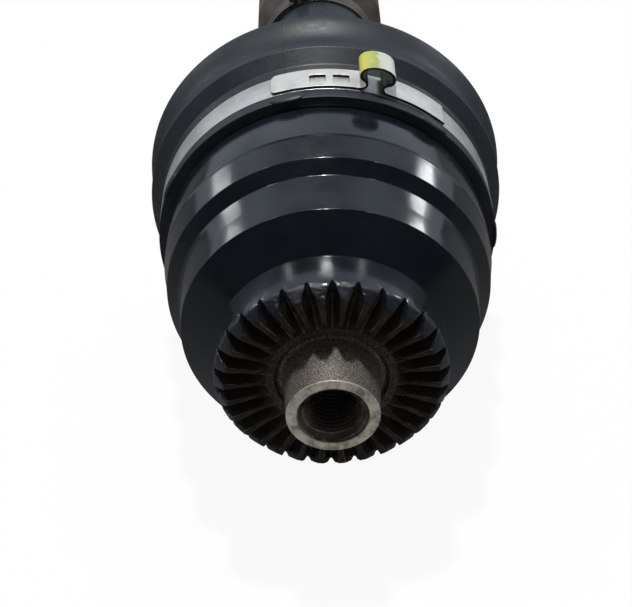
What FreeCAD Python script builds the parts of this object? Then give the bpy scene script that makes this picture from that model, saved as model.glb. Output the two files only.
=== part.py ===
import FreeCAD, Part
import math
import os

Vector = FreeCAD.Vector

# A driven half shaft. The shaft's axis is Y: the hub end is at y = 0 and the differential end is at +Y.
# Lengths are in millimetres and angles in degrees. An azimuth is measured from +X towards +Z.

# Hub end: threaded spigot and toothed face
spigot_end_r = 12.2
spigot_base_r = 13.0
spigot_length = 12.6
spigot_edge = 0.4
thread_r = 8.0
thread_mouth_width = 1.67
thread_mouth_depth = 1.7
thread_length = 22.8
drill_tip = 3.0
recess_depth = 3.0
recess_width = 2.0
land_step = 1.2
land_width = 2.7
tooth_count = 30
tooth_azimuth = 87.0
tooth_flank = 25.0
tooth_root_share = 0.12
tooth_inner_rise = 1.9
tooth_inner_slope = 2.6
tooth_crest_lean = 1.0
tooth_outer_depth = 5.2
tooth_root_lean = 2.1
tooth_end_width = 1.9
tooth_end_drop = 1.8
tooth_gap_run_out = 1.5
collar_r = 31.5
collar_length = 9.1
collar_fillet = 1.4

# Outer joint housing: steps from the collar back to the mouth
flank_r = 41.8
flank_length = 5.4
step_1_rise = 1.5
step_1_length = 5.2
step_2_rise = 0.8
step_2_length = 6.4
shoulder_rise = 1.9
shoulder_length = 5.2
shoulder_edge = 1.3
shoulder_edge_rise = 0.3
shoulder_hollow = 2.0
centre_setback = 6.6
body_taper_rise = 1.2
body_taper_reach = 3.6
body_rise = 0.7
seat_reach = 19.6
seat_step = 0.6
seat_groove_reach = 25.2
seat_groove_depth = 0.9
housing_end_reach = 38.5
mouth_wall = 4.7
edge_break = 0.8

# Outer joint: balls, cage and inner race
outer_pitch_r = 32.0
ball_r = 9.5
ball_count = 6
track_gap = 0.65
race_sphere_r = 29.0
race_half_width = 13.0
cage_wall = 6.0
cage_half_width = 15.0
sphere_gap = 0.06
window_gap = 0.02
window_end_gap = 2.5
track_reach = 13.0
track_run_out = 36.0
cavity_bottom = 23.0
cavity_equator_reach = 14.0

# Shaft: a tube with a forged end welded to each end
tube_r = 23.85
tube_wall = 3.6
tube_length = 112.0
outer_boot_reach = 142.0
inner_boot_reach = 139.3
outer_spline_r = 14.0
outer_end_reach = 16.0
outer_stop_height = 2.2
outer_stop_width = 3.0
outer_neck_r = 14.6
inner_spline_r = 13.0
inner_end_reach = 14.5
inner_stop_height = 1.6
inner_stop_width = 2.5
inner_neck_r = 12.5
boot_seat_r = 16.0
boot_seat_width = 15.0
seat_ring_height = 0.8
seat_ring_width = 3.5
shaft_shoulder = 5.0
shaft_chamfer = 1.2

# Inner joint: spider, needles, rollers and tulip-shaped housing
inner_pitch_r = 26.0
trunnion_count = 3
first_trunnion = 90.0
spider_wall = 6.5
spider_half_width = 11.0
spider_chamfer = 1.2
trunnion_r = 9.0
trunnion_tip = 1.1
trunnion_flat_gap = 0.4
trunnion_flat_margin = 1.0
needle_r = 1.5
needle_gap = 0.03
needle_count = 20
needle_length = 14.0
roller_r = 17.0
roller_half_width = 8.5
roller_track_gap = 1.0
washer_height = 4.0
washer_width = 0.9
washer_gap = 0.1
snap_ring_width = 1.1
snap_ring_depth = 0.8
snap_ring_height = 1.8
snap_ring_opening = 3.0
housing_wall = 4.6
core_r = 34.0
housing_bore_gap = 3.5
housing_mouth_reach = 42.0
housing_mouth_wall = 4.5
housing_flare_reach = 10.0
housing_depth = 45.0
housing_floor = 9.0
housing_neck_inset = 3.0
housing_neck_length = 9.0
journal_r = 17.5
journal_length = 15.0
stub_spline_r = 14.0
stub_spline_length = 38.5
stub_tooth_count = 28
stub_tooth_depth = 1.3
stub_gap_root_share = 0.4
stub_gap_top_share = 0.68
stub_relief_depth = 1.6
stub_relief_width = 3.0
stub_chamfer = 1.5
stub_clip_from_end = 6.0
adapter_wall = 2.0
adapter_width = 17.0
adapter_gap = 0.05

# Boots and their clamps
boot_wall = 2.6
boot_gap = 0.05
cuff_wall = 3.2
shaft_gap = 0.3
lip_gap = 0.3
lip_wall = 3.4
clamp_width = 10.6
clamp_groove_depth = 0.8
lip_flare = 1.0
fold_start_length = 4.0
shoulder_fold_rise = 3.9
saddle_length = 7.5
saddle_drop = 0.9
bulge_rise_length = 6.0
bulge_length = 5.0
bulge_r = 56.0
fold_land = 1.6
fold_depth = 10.0
fold_depth_change = 1.2
fold_valley_place = 0.42
fold_crest_place = 0.86
outer_fold_count = 4
inner_fold_count = 4
inner_bulge_rise = 1.1
inner_bulge_length = 6.0
inner_bulge_slope = 2.0
band_thickness = 0.8
band_gap = 0.05
tail_span = 33.0
window_span = 3.2
window_width = 3.6
first_window = 9.6
window_step = 7.8
small_clamp_width = 8.0
large_ear_azimuth = 71.4
small_ear_azimuth = 112.0
large_ear_r = 4.6
small_ear_r = 3.6
ear_stand_off = 0.82
ear_overlap_angle = 0.5
clip_wire_r = 0.9
clip_opening = 24.0
shield_seat_rise = 1.0
shield_seat_margin = 0.5
shield_height = 10.5
shield_sheet = 1.5
shield_lip = 5.0

# Radii and places that follow from the sizes above
recess_outer_r = spigot_base_r + recess_width
land_r = recess_outer_r + land_width
land_y = spigot_length + recess_depth - land_step
tooth_inner_r = land_r + tooth_inner_slope
tooth_outer_r = collar_r - tooth_end_width
tooth_inner_crest_y = land_y - tooth_inner_rise
tooth_outer_crest_y = tooth_inner_crest_y - tooth_crest_lean
tooth_outer_root_y = tooth_outer_crest_y + tooth_outer_depth
tooth_inner_root_y = tooth_outer_root_y - tooth_root_lean
collar_end_y = tooth_outer_root_y + collar_length
flank_y = collar_end_y + collar_fillet + flank_length
step_1_r = flank_r + step_1_rise
step_1_y = flank_y + step_1_length
step_2_r = step_1_r + step_2_rise
step_2_y = step_1_y + step_2_length
shoulder_r = step_2_r + shoulder_rise
shoulder_y = step_2_y + shoulder_length
outer_centre = shoulder_y + centre_setback
body_taper_r = shoulder_r + body_taper_rise
body_taper_y = outer_centre + body_taper_reach
body_r = body_taper_r + body_rise
seat_y = outer_centre + seat_reach
seat_r = body_r - seat_step
seat_groove_y = outer_centre + seat_groove_reach
seat_groove_r = seat_r - seat_groove_depth
housing_end_y = outer_centre + housing_end_reach
mouth_r = seat_r - mouth_wall
outer_seat_start = outer_centre + outer_boot_reach
tube_start = outer_seat_start + boot_seat_width + shaft_shoulder + tube_r - boot_seat_r
tube_end = tube_start + tube_length
inner_seat_start = tube_end + shaft_shoulder + tube_r - boot_seat_r + boot_seat_width
inner_centre = inner_seat_start + inner_boot_reach
seat_ring_r = boot_seat_r + seat_ring_height
spider_hub_r = inner_spline_r + spider_wall
housing_bore_r = spider_hub_r + housing_bore_gap
groove_r = roller_r + roller_track_gap
lobe_r = groove_r + housing_wall
mouth_y = inner_centre - housing_mouth_reach
adapter_r = inner_pitch_r + lobe_r + adapter_wall
lip_r = seat_r + lip_wall
cuff_r = boot_seat_r + shaft_gap + cuff_wall
floor_y = inner_centre + housing_depth + housing_floor
neck_y = floor_y + housing_neck_length
shield_seat_r = journal_r + shield_seat_rise
shield_seat_end = neck_y + shield_lip + shield_seat_margin
journal_y = shield_seat_end + shield_seat_rise + journal_length
relief_y = journal_y + stub_relief_width
tip_y = relief_y + stub_spline_length
stub_relief_r = stub_spline_r - stub_relief_depth
washer_start = inner_pitch_r + roller_half_width + washer_gap
snap_ring_start = washer_start + washer_width
trunnion_reach = snap_ring_start + snap_ring_width + trunnion_tip
outer_clip_y = outer_centre - race_half_width - clip_wire_r
inner_clip_y = inner_centre + spider_half_width + clip_wire_r

AXIS = Vector(0, 1, 0)
ORIGIN = Vector(0, 0, 0)


def on_axis(y):
    """The point of the shaft's axis at y."""
    return Vector(0, y, 0)


def turned(shape, azimuth):
    """A copy of a shape made at azimuth 0, turned about the shaft's axis to an azimuth."""
    copy = shape.copy()
    copy.rotate(ORIGIN, AXIS, -azimuth)
    return copy


def revolved(corners):
    """The solid of revolution about the shaft's axis whose half section has these (y, r) corners."""
    points = [Vector(r, y, 0) for y, r in corners]
    face = Part.Face(Part.makePolygon(points + points[:1]))
    return face.revolve(ORIGIN, AXIS, 360)


def ring(y_start, y_end, inner, outer):
    """A plain ring about the shaft's axis."""
    return revolved([(y_start, inner), (y_end, inner), (y_end, outer), (y_start, outer)])


def disc(y_start, y_end, radius):
    """A plain cylinder on the shaft's axis."""
    return Part.makeCylinder(radius, y_end - y_start, on_axis(y_start), AXIS)


def fused(shapes):
    """One solid from shapes that meet."""
    return shapes[0].multiFuse(shapes[1:]).removeSplitter()


def flat_solid(front, back):
    """A solid with flat faces between two polygons with as many corners."""
    faces = [Part.Face(Part.makePolygon(outline + outline[:1])) for outline in (front, back)]
    for i in range(len(front)):
        j = (i + 1) % len(front)
        side = [front[i], front[j], back[j], back[i], front[i]]
        faces.append(Part.Face(Part.makePolygon(side)))
    return Part.makeSolid(Part.makeShell(faces))


def sphere_zone(centre, radius, low, high):
    """The slice of a ball between two distances along the axis from its centre."""
    latitudes = [math.degrees(math.asin(max(-1.0, min(1.0, end / radius)))) for end in (low, high)]
    return Part.makeSphere(radius, on_axis(centre), AXIS, latitudes[0], latitudes[1])


def ball_path(tube_r, start, end):
    """The round track that a ball sweeps at azimuth 0, between two angles about the joint's centre."""
    centre = on_axis(outer_centre)
    low = math.radians(start)
    middle = centre + Vector(outer_pitch_r * math.cos(low), outer_pitch_r * math.sin(low), 0)
    section = Part.Face(Part.Wire(Part.makeCircle(tube_r, middle, Vector(-math.sin(low), math.cos(low), 0))))
    return fused([section.revolve(centre, Vector(0, 0, 1), end - start), Part.makeSphere(tube_r, middle)])


def ball_azimuths():
    return [360 * k / ball_count for k in range(ball_count)]


def tooth_gap():
    """The space between two face teeth at azimuth 0: it narrows and rises towards the axis."""
    inner, outer = land_r - tooth_gap_run_out, collar_r + tooth_gap_run_out
    slope = (tooth_outer_root_y - tooth_inner_root_y) / (collar_r - land_r)
    outlines = []
    for r in (inner, outer):
        root_y = tooth_inner_root_y + slope * (r - land_r)
        root_half = tooth_root_share * math.pi * r / tooth_count
        top_y = tooth_outer_crest_y - tooth_gap_run_out
        top_half = root_half + (root_y - top_y) * math.tan(math.radians(tooth_flank))
        outlines.append([
            Vector(r, root_y, -root_half),
            Vector(r, root_y, root_half),
            Vector(r, top_y, top_half),
            Vector(r, top_y, -top_half),
        ])
    return flat_solid(outlines[0], outlines[1])


def housing_outside():
    """The turned outside of the outer joint housing, from the spigot to the mouth."""
    recess_y = spigot_length + recess_depth
    return revolved([
        (0, 0),
        (0, spigot_end_r - spigot_edge),
        (spigot_edge, spigot_end_r),
        (spigot_length, spigot_base_r),
        (recess_y, spigot_base_r + spigot_edge),
        (recess_y, recess_outer_r - spigot_edge),
        (land_y, recess_outer_r),
        (land_y, land_r),
        (tooth_inner_crest_y, tooth_inner_r),
        (tooth_outer_crest_y, tooth_outer_r),
        (tooth_outer_crest_y + tooth_end_drop, collar_r),
        (collar_end_y, collar_r),
        (collar_end_y + collar_fillet, collar_r + collar_fillet),
        (flank_y, flank_r),
        (step_1_y, step_1_r),
        (step_2_y, step_2_r),
        (shoulder_y - shoulder_hollow, step_2_r + shoulder_edge_rise),
        (shoulder_y, shoulder_r),
        (shoulder_y + shoulder_edge, shoulder_r + shoulder_edge_rise),
        (body_taper_y, body_taper_r),
        (body_taper_y + edge_break, body_r - shoulder_edge_rise),
        (seat_y - edge_break, body_r),
        (seat_y, seat_r),
        (seat_groove_y, seat_r),
        (seat_groove_y + edge_break, seat_groove_r),
        (seat_groove_y + clamp_width - edge_break, seat_groove_r),
        (seat_groove_y + clamp_width, seat_r),
        (housing_end_y - edge_break, seat_r),
        (housing_end_y, seat_r - edge_break),
        (housing_end_y, 0),
    ])


def housing_cavity():
    """The hollow of the outer joint: a ball seat for the cage that opens into a wide mouth."""
    radius = race_sphere_r + cage_wall + 2 * sphere_gap
    throat_r = math.sqrt(radius ** 2 - cavity_equator_reach ** 2)
    throat_y = outer_centre + cavity_equator_reach
    flare_y = throat_y + (mouth_r - throat_r)
    seat = sphere_zone(outer_centre, radius, -cavity_bottom, cavity_equator_reach)
    flare = revolved([
        (throat_y - 1.0, 0),
        (throat_y - 1.0, throat_r),
        (throat_y, throat_r),
        (flare_y, mouth_r),
        (housing_end_y + 1.0, mouth_r),
        (housing_end_y + 1.0, 0),
    ])
    return fused([seat, flare])


def thread_hole():
    """The hub bolt's hole, left at the thread's outside radius."""
    return revolved([
        (-1.0, 0),
        (-1.0, thread_r + thread_mouth_width),
        (0, thread_r + thread_mouth_width),
        (thread_mouth_depth, thread_r),
        (thread_mouth_depth + thread_length, thread_r),
        (thread_mouth_depth + thread_length + drill_tip, 0),
    ])


def outer_joint_housing():
    """Bell-shaped housing with the face teeth, the threaded spigot and six ball tracks."""
    blank = housing_outside().cut(thread_hole()).cut(housing_cavity())
    track = ball_path(ball_r + track_gap, -track_reach, track_run_out)
    tracks = [turned(track, azimuth) for azimuth in ball_azimuths()]
    gap = tooth_gap()
    gaps = [turned(gap, tooth_azimuth + 360 * k / tooth_count) for k in range(tooth_count)]
    return blank.cut(tracks).cut(gaps)


def outer_inner_race():
    """Ball-shaped inner race with six tracks, on the splined end of the shaft."""
    zone = sphere_zone(outer_centre, race_sphere_r, -race_half_width, race_half_width)
    bore = disc(outer_centre - 2 * race_half_width, outer_centre + 2 * race_half_width, outer_spline_r)
    track = ball_path(ball_r + track_gap, -track_run_out, track_run_out)
    return zone.cut([bore] + [turned(track, azimuth) for azimuth in ball_azimuths()])


def ball_cage():
    """Cage with a window for each ball, guided between the race and the housing."""
    inner = race_sphere_r + sphere_gap
    shell = sphere_zone(outer_centre, inner + cage_wall, -cage_half_width, cage_half_width)
    hollow_half_width = cage_half_width + cage_wall / 2
    shell = shell.cut(sphere_zone(outer_centre, inner, -hollow_half_width, hollow_half_width))
    half_width = ball_r + window_gap
    half_length = ball_r + window_end_gap
    corner = Vector(outer_pitch_r - 2 * cage_wall, outer_centre - half_width, -half_length)
    window = Part.makeBox(4 * cage_wall, 2 * half_width, 2 * half_length, corner)
    return shell.cut([turned(window, azimuth) for azimuth in ball_azimuths()])


def ball_at(azimuth):
    """One ball of the outer joint."""
    return turned(Part.makeSphere(ball_r, Vector(outer_pitch_r, outer_centre, 0)), azimuth)


def end_corners(centre, toward, reach, spline_r, half_width, stop_r, stop_width, neck_r, seat_start):
    """Half section of a forged shaft end, from its splined tip to its weld with the tube."""
    stop_y = centre + toward * half_width
    tip_y = centre - toward * reach
    seat_end = seat_start + toward * boot_seat_width
    weld_y = seat_end + toward * (tube_r - boot_seat_r + shaft_shoulder)
    return [
        (tip_y, 0),
        (tip_y, spline_r - shaft_chamfer),
        (tip_y + toward * shaft_chamfer, spline_r),
        (stop_y, spline_r),
        (stop_y, stop_r),
        (stop_y + toward * stop_width, stop_r),
        (stop_y + toward * (stop_width + stop_r - neck_r), neck_r),
        (seat_start - toward * (seat_ring_width + seat_ring_r - neck_r), neck_r),
        (seat_start - toward * seat_ring_width, seat_ring_r),
        (seat_start - toward * seat_ring_height, seat_ring_r),
        (seat_start, boot_seat_r),
        (seat_end, boot_seat_r),
        (seat_end + toward * (tube_r - boot_seat_r), tube_r),
        (weld_y, tube_r),
        (weld_y, 0),
    ]


def clip_groove(y, floor_r, outer):
    """The ring-shaped cut that a wire clip sits in."""
    return ring(y - clip_wire_r, y + clip_wire_r, floor_r, outer)


def outer_shaft_end():
    """Forged end that carries the inner race and the small end of the outer boot."""
    body = revolved(end_corners(outer_centre, 1, outer_end_reach, outer_spline_r, race_half_width,
                                outer_spline_r + outer_stop_height, outer_stop_width, outer_neck_r,
                                outer_seat_start))
    return body.cut(clip_groove(outer_clip_y, outer_spline_r - clip_wire_r, outer_spline_r + 1))


def inner_shaft_end():
    """Forged end that carries the spider and the small end of the inner boot."""
    body = revolved(end_corners(inner_centre, -1, inner_end_reach, inner_spline_r, spider_half_width,
                                inner_spline_r + inner_stop_height, inner_stop_width, inner_neck_r,
                                inner_seat_start))
    return body.cut(clip_groove(inner_clip_y, inner_spline_r - clip_wire_r, inner_spline_r + 1))


def shaft_tube():
    """The tube between the two forged ends."""
    return ring(tube_start, tube_end, tube_r - tube_wall, tube_r)


def wire_clip(y, floor_r):
    """A spring clip in its groove, open at one side."""
    clip = ring(y - clip_wire_r, y + clip_wire_r, floor_r, floor_r + 2 * clip_wire_r)
    reach = 2 * (floor_r + clip_wire_r)
    half = math.radians(clip_opening / 2)
    points = [Vector(0, y - reach, 0)]
    for side in (-1, 1):
        points.append(Vector(reach * math.cos(half), y - reach, side * reach * math.sin(half)))
    wedge = Part.Face(Part.makePolygon(points + points[:1])).extrude(Vector(0, 2 * reach, 0))
    return clip.cut(wedge)


def trunnion_azimuths():
    return [first_trunnion + 360 * k / trunnion_count for k in range(trunnion_count)]


def radial_cylinder(radius, start, end):
    """A cylinder along the trunnion at azimuth 0, between two distances from the shaft's axis."""
    foot = Vector(start, inner_centre, 0)
    return Part.makeCylinder(radius, end - start, foot, Vector(1, 0, 0))


def radial_ring(inner, outer, start, end):
    """A ring round the trunnion at azimuth 0."""
    return radial_cylinder(outer, start, end).cut(radial_cylinder(inner, start - 1, end + 1))


def tripod_spider():
    """Spider with three trunnions, each with a flat shoulder and a groove for its snap ring."""
    start, end = inner_centre - spider_half_width, inner_centre + spider_half_width
    hub = revolved([
        (start, inner_spline_r),
        (start, spider_hub_r - spider_chamfer),
        (start + spider_chamfer, spider_hub_r),
        (end - spider_chamfer, spider_hub_r),
        (end, spider_hub_r - spider_chamfer),
        (end, inner_spline_r),
    ])
    flat_reach = inner_pitch_r - roller_half_width - trunnion_flat_gap
    flat = radial_cylinder(roller_r + trunnion_flat_margin, flat_reach, trunnion_reach)
    groove = radial_ring(trunnion_r - snap_ring_depth, trunnion_r + 1, snap_ring_start,
                         snap_ring_start + snap_ring_width)
    pin = radial_cylinder(trunnion_r, inner_spline_r + 1, trunnion_reach).cut(groove)
    hub = hub.cut([turned(flat, azimuth) for azimuth in trunnion_azimuths()])
    return fused([hub] + [turned(pin, azimuth) for azimuth in trunnion_azimuths()])


def needle_set(azimuth):
    """The loose needles between one trunnion and its roller."""
    circle_r = trunnion_r + needle_gap + needle_r
    start = inner_pitch_r - needle_length / 2
    needles = []
    for k in range(needle_count):
        angle = 2 * math.pi * k / needle_count
        foot = Vector(start, inner_centre + circle_r * math.cos(angle), circle_r * math.sin(angle))
        needles.append(Part.makeCylinder(needle_r, needle_length, foot, Vector(1, 0, 0)))
    return turned(Part.makeCompound(needles), azimuth)


def roller(azimuth):
    """A roller with a ball-shaped rim that runs on the needles."""
    latitude = math.degrees(math.asin(roller_half_width / roller_r))
    centre = Vector(inner_pitch_r, inner_centre, 0)
    body = Part.makeSphere(roller_r, centre, Vector(1, 0, 0), -latitude, latitude)
    bore_r = trunnion_r + 2 * (needle_gap + needle_r)
    bore = radial_cylinder(bore_r, inner_pitch_r - 2 * roller_half_width, inner_pitch_r + 2 * roller_half_width)
    return turned(body.cut(bore), azimuth)


def trunnion_washers():
    """The flat washers that keep the needles in."""
    washer = radial_ring(trunnion_r, trunnion_r + washer_height, washer_start, snap_ring_start)
    return Part.makeCompound([turned(washer, azimuth) for azimuth in trunnion_azimuths()])


def trunnion_snap_rings():
    """The snap rings that hold the washers on the trunnions."""
    end = snap_ring_start + snap_ring_width
    outer = trunnion_r + snap_ring_height
    snap = radial_ring(trunnion_r - snap_ring_depth, outer, snap_ring_start, end)
    corner = Vector(snap_ring_start - snap_ring_width / 2, inner_centre, -snap_ring_opening / 2)
    snap = snap.cut(Part.makeBox(2 * snap_ring_width, 2 * outer, snap_ring_opening, corner))
    return Part.makeCompound([turned(snap, azimuth) for azimuth in trunnion_azimuths()])


def lobes(y_start, y_end, extra):
    """The three-lobed outline of the inner housing, grown by extra, between two places on the axis."""
    lobe = Part.makeCylinder(lobe_r + extra, y_end - y_start, Vector(inner_pitch_r, y_start, 0), AXIS)
    core = disc(y_start, y_end, core_r + extra)
    return fused([core] + [turned(lobe, azimuth) for azimuth in trunnion_azimuths()])


def stub_spline_gaps():
    """The spaces between the teeth of the stub's spline."""
    root_r = stub_spline_r - stub_tooth_depth
    top_r = stub_spline_r + stub_tooth_depth / 4
    pitch = 2 * math.pi * stub_spline_r / stub_tooth_count
    root_half = stub_gap_root_share * pitch / 2
    top_half = stub_gap_top_share * pitch / 2
    outline = [
        Vector(root_r, relief_y, -root_half),
        Vector(root_r, relief_y, root_half),
        Vector(top_r, relief_y, top_half),
        Vector(top_r, relief_y, -top_half),
    ]
    gap = Part.Face(Part.makePolygon(outline + outline[:1])).extrude(Vector(0, stub_spline_length, 0))
    return [turned(gap, 360 * k / stub_tooth_count) for k in range(stub_tooth_count)]


def housing_stub():
    """The neck, journal and splined end behind the floor of the inner housing."""
    neck_r = core_r - housing_neck_inset
    stub = revolved([
        (floor_y - housing_floor / 2, 0),
        (floor_y - housing_floor / 2, neck_r),
        (floor_y, neck_r),
        (neck_y, shield_seat_r),
        (shield_seat_end, shield_seat_r),
        (shield_seat_end + shield_seat_rise, journal_r),
        (journal_y, journal_r),
        (journal_y, stub_relief_r),
        (relief_y, stub_relief_r),
        (relief_y, stub_spline_r),
        (tip_y - stub_chamfer, stub_spline_r),
        (tip_y, stub_spline_r - stub_chamfer),
        (tip_y, 0),
    ])
    clip_cut = clip_groove(tip_y - stub_clip_from_end, stub_relief_r - clip_wire_r, stub_spline_r + 1)
    return stub.cut(stub_spline_gaps()).cut(clip_cut)


def inner_joint_housing():
    """Tulip-shaped housing with three roller tracks and the splined stub for the differential."""
    bottom_y = inner_centre + housing_depth
    groove = Part.makeCylinder(groove_r, bottom_y - mouth_y + 1, Vector(inner_pitch_r, mouth_y - 1, 0), AXIS)
    flare = revolved([
        (mouth_y - 1, 0),
        (mouth_y - 1, core_r - housing_mouth_wall),
        (mouth_y, core_r - housing_mouth_wall),
        (inner_centre - housing_flare_reach, housing_bore_r),
        (bottom_y, housing_bore_r),
        (bottom_y, 0),
    ])
    grooves = [turned(groove, azimuth) for azimuth in trunnion_azimuths()]
    shell = lobes(mouth_y, floor_y, 0).cut([flare] + grooves)
    return fused([shell, housing_stub()])


def stub_circlip():
    """The clip that holds the stub in the differential."""
    return wire_clip(tip_y - stub_clip_from_end, stub_relief_r - clip_wire_r)


def stub_dust_shield():
    """Pressed ring beside the stub's journal that covers the differential's seal."""
    outer = shield_seat_r + shield_height
    return revolved([
        (neck_y, shield_seat_r),
        (neck_y + shield_lip, shield_seat_r),
        (neck_y + shield_lip, shield_seat_r + shield_sheet),
        (neck_y + shield_sheet, shield_seat_r + shield_sheet),
        (neck_y + shield_sheet, outer - shield_sheet),
        (neck_y + shield_lip, outer - shield_sheet),
        (neck_y + shield_lip, outer),
        (neck_y, outer),
    ])


def boot_adapter():
    """Rubber ring that makes the three-lobed mouth of the inner housing round."""
    blank = disc(mouth_y, mouth_y + adapter_width, adapter_r)
    return blank.cut(lobes(mouth_y - 1, mouth_y + adapter_width + 1, adapter_gap))


def fold_corners(start, end, start_r, count):
    """Corners (y, r) of the pleats between a boot's widest fold and its small cuff."""
    pitch = (end - start) / count
    corners = []
    for k in range(count):
        crest_r = start_r + (cuff_r - start_r) * (k + 1) / (count + 0.5)
        valley_r = max(crest_r - fold_depth + fold_depth_change * k, cuff_r)
        valley_y = start + pitch * (k + fold_valley_place)
        crest_y = start + pitch * (k + fold_crest_place)
        land = math.copysign(fold_land / 2, pitch)
        corners += [(valley_y - land, valley_r), (valley_y + land, valley_r)]
        if k < count - 1:
            corners += [(crest_y - land, crest_r), (crest_y + land, crest_r)]
    return corners


def inside_of(corners):
    """The inside of a boot's wall, a wall's thickness nearer the axis."""
    return [(y, max(r - boot_wall, seat_ring_r + shaft_gap)) for y, r in corners]


def cuff_corners(seat_start, toward, radius):
    """The two ends of a boot's small cuff on its seat, going away from the joint."""
    ends = (shaft_gap, boot_seat_width - shaft_gap)
    return [(seat_start + toward * end, radius) for end in ends]


def cuff_bore(seat_start, toward):
    """The inside of a boot's small cuff, which clears the ring in front of the seat."""
    return [(seat_start, seat_ring_r + shaft_gap)] + cuff_corners(seat_start, toward, boot_seat_r + shaft_gap)


def outer_boot():
    """Pleated rubber boot of the outer joint, from the housing to the shaft."""
    lip_start = seat_y + lip_gap
    band_r = lip_r - clamp_groove_depth
    groove_end = seat_groove_y + clamp_width + 2 * band_gap
    shoulder = (max(housing_end_y, groove_end) + fold_start_length, lip_r + shoulder_fold_rise)
    saddle = (shoulder[0] + saddle_length, shoulder[1] - saddle_drop)
    bulge = (saddle[0] + bulge_rise_length, bulge_r)
    bulge_end = (bulge[0] + bulge_length, bulge_r)
    folds = fold_corners(bulge_end[0], outer_seat_start - fold_land, bulge_r, outer_fold_count)
    outside = [
        (lip_start, lip_r),
        (seat_groove_y, lip_r),
        (seat_groove_y, band_r),
        (groove_end, band_r),
        (groove_end + lip_flare, lip_r + lip_flare),
    ]
    pleats = [shoulder, saddle, bulge, bulge_end] + folds
    outside += pleats + cuff_corners(outer_seat_start, 1, cuff_r)
    inside = [(lip_start, seat_r + boot_gap), (housing_end_y + shaft_gap, seat_r + boot_gap)]
    inside += inside_of(pleats) + cuff_bore(outer_seat_start, 1)
    return revolved(outside + inside[::-1])


def inner_boot():
    """Pleated boot of the inner joint, from its adapter ring to the shaft."""
    bore_r = adapter_r + shaft_gap
    outside_r = bore_r + boot_wall
    band_r = outside_r - clamp_groove_depth
    large_r = outside_r + inner_bulge_rise
    lip_end = mouth_y + adapter_width
    groove_start = mouth_y + (adapter_width - clamp_width) / 2
    groove_end = groove_start + clamp_width
    fold_start = mouth_y - inner_bulge_slope - inner_bulge_length
    folds = fold_corners(fold_start, inner_seat_start + fold_land, large_r, inner_fold_count)
    outside = [
        (lip_end, outside_r),
        (groove_end, outside_r),
        (groove_end, band_r),
        (groove_start, band_r),
        (groove_start, outside_r),
        (mouth_y - inner_bulge_slope, large_r),
        (fold_start, large_r),
    ]
    outside += folds + cuff_corners(inner_seat_start, -1, cuff_r)
    inside = [(lip_end, bore_r), (mouth_y - shaft_gap, bore_r)]
    inside += inside_of([(fold_start, large_r)] + folds) + cuff_bore(inner_seat_start, -1)
    return revolved(outside + inside[::-1])


def ear_clamp(start, width, inner_r, ear_azimuth, ear_r, tail_windows):
    """A band clamp: a band, its overlapping tail with slots and the pinched loop that tightens it."""
    band_r = inner_r + band_thickness
    tail_r = band_r + band_thickness
    band = ring(start, start + width, inner_r, band_r)
    loop_centre = Vector(band_r + ear_stand_off * ear_r, start, 0)
    loop = Part.makeCylinder(ear_r, width, loop_centre, AXIS)
    loop = loop.cut(Part.makeCylinder(ear_r - band_thickness, width, loop_centre, AXIS))
    loop = turned(loop.cut(disc(start, start + width, inner_r + band_thickness / 2)), ear_azimuth)
    tail_face = Part.Face(Part.makePolygon([
        Vector(band_r - band_thickness / 2, start, 0),
        Vector(tail_r, start, 0),
        Vector(tail_r, start + width, 0),
        Vector(band_r - band_thickness / 2, start + width, 0),
        Vector(band_r - band_thickness / 2, start, 0),
    ]))
    tail = turned(tail_face.revolve(ORIGIN, AXIS, -tail_span), ear_azimuth + ear_foot(band_r, ear_r))
    windows = []
    for k in range(tail_windows):
        corner = Vector(band_r, start + (width - window_width) / 2, -window_span / 2)
        window = Part.makeBox(3 * band_thickness, window_width, window_span, corner)
        windows.append(turned(window, ear_azimuth + first_window + k * window_step))
    if windows:
        tail = tail.cut(windows)
    return fused([band, tail, loop])


def ear_foot(band_r, ear_r):
    """The angle from the middle of a clamp's loop to its foot."""
    rise = ear_stand_off * ear_r
    return math.degrees(math.sqrt(ear_r ** 2 - rise ** 2) / band_r) - ear_overlap_angle


def outer_boot_large_clamp():
    """Clamp on the boot's lip, with two slots in its tail."""
    inner_r = lip_r - clamp_groove_depth + band_gap
    return ear_clamp(seat_groove_y + band_gap, clamp_width, inner_r, large_ear_azimuth, large_ear_r, 2)


def small_clamp(seat_middle):
    """Clamp on a boot's small cuff."""
    start = seat_middle - small_clamp_width / 2
    return ear_clamp(start, small_clamp_width, cuff_r + shaft_gap, small_ear_azimuth, small_ear_r, 0)


def inner_boot_large_clamp():
    """Clamp on the inner boot's lip, round the adapter ring."""
    start = mouth_y + (adapter_width - clamp_width) / 2 + shaft_gap
    inner_r = adapter_r + boot_wall - clamp_groove_depth + 2 * shaft_gap
    return ear_clamp(start, clamp_width - 2 * shaft_gap, inner_r, large_ear_azimuth, large_ear_r, 0)


def save(name, shape):
    """Write one node of the part."""
    shape.exportStep("parts/" + name + ".step")


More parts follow.
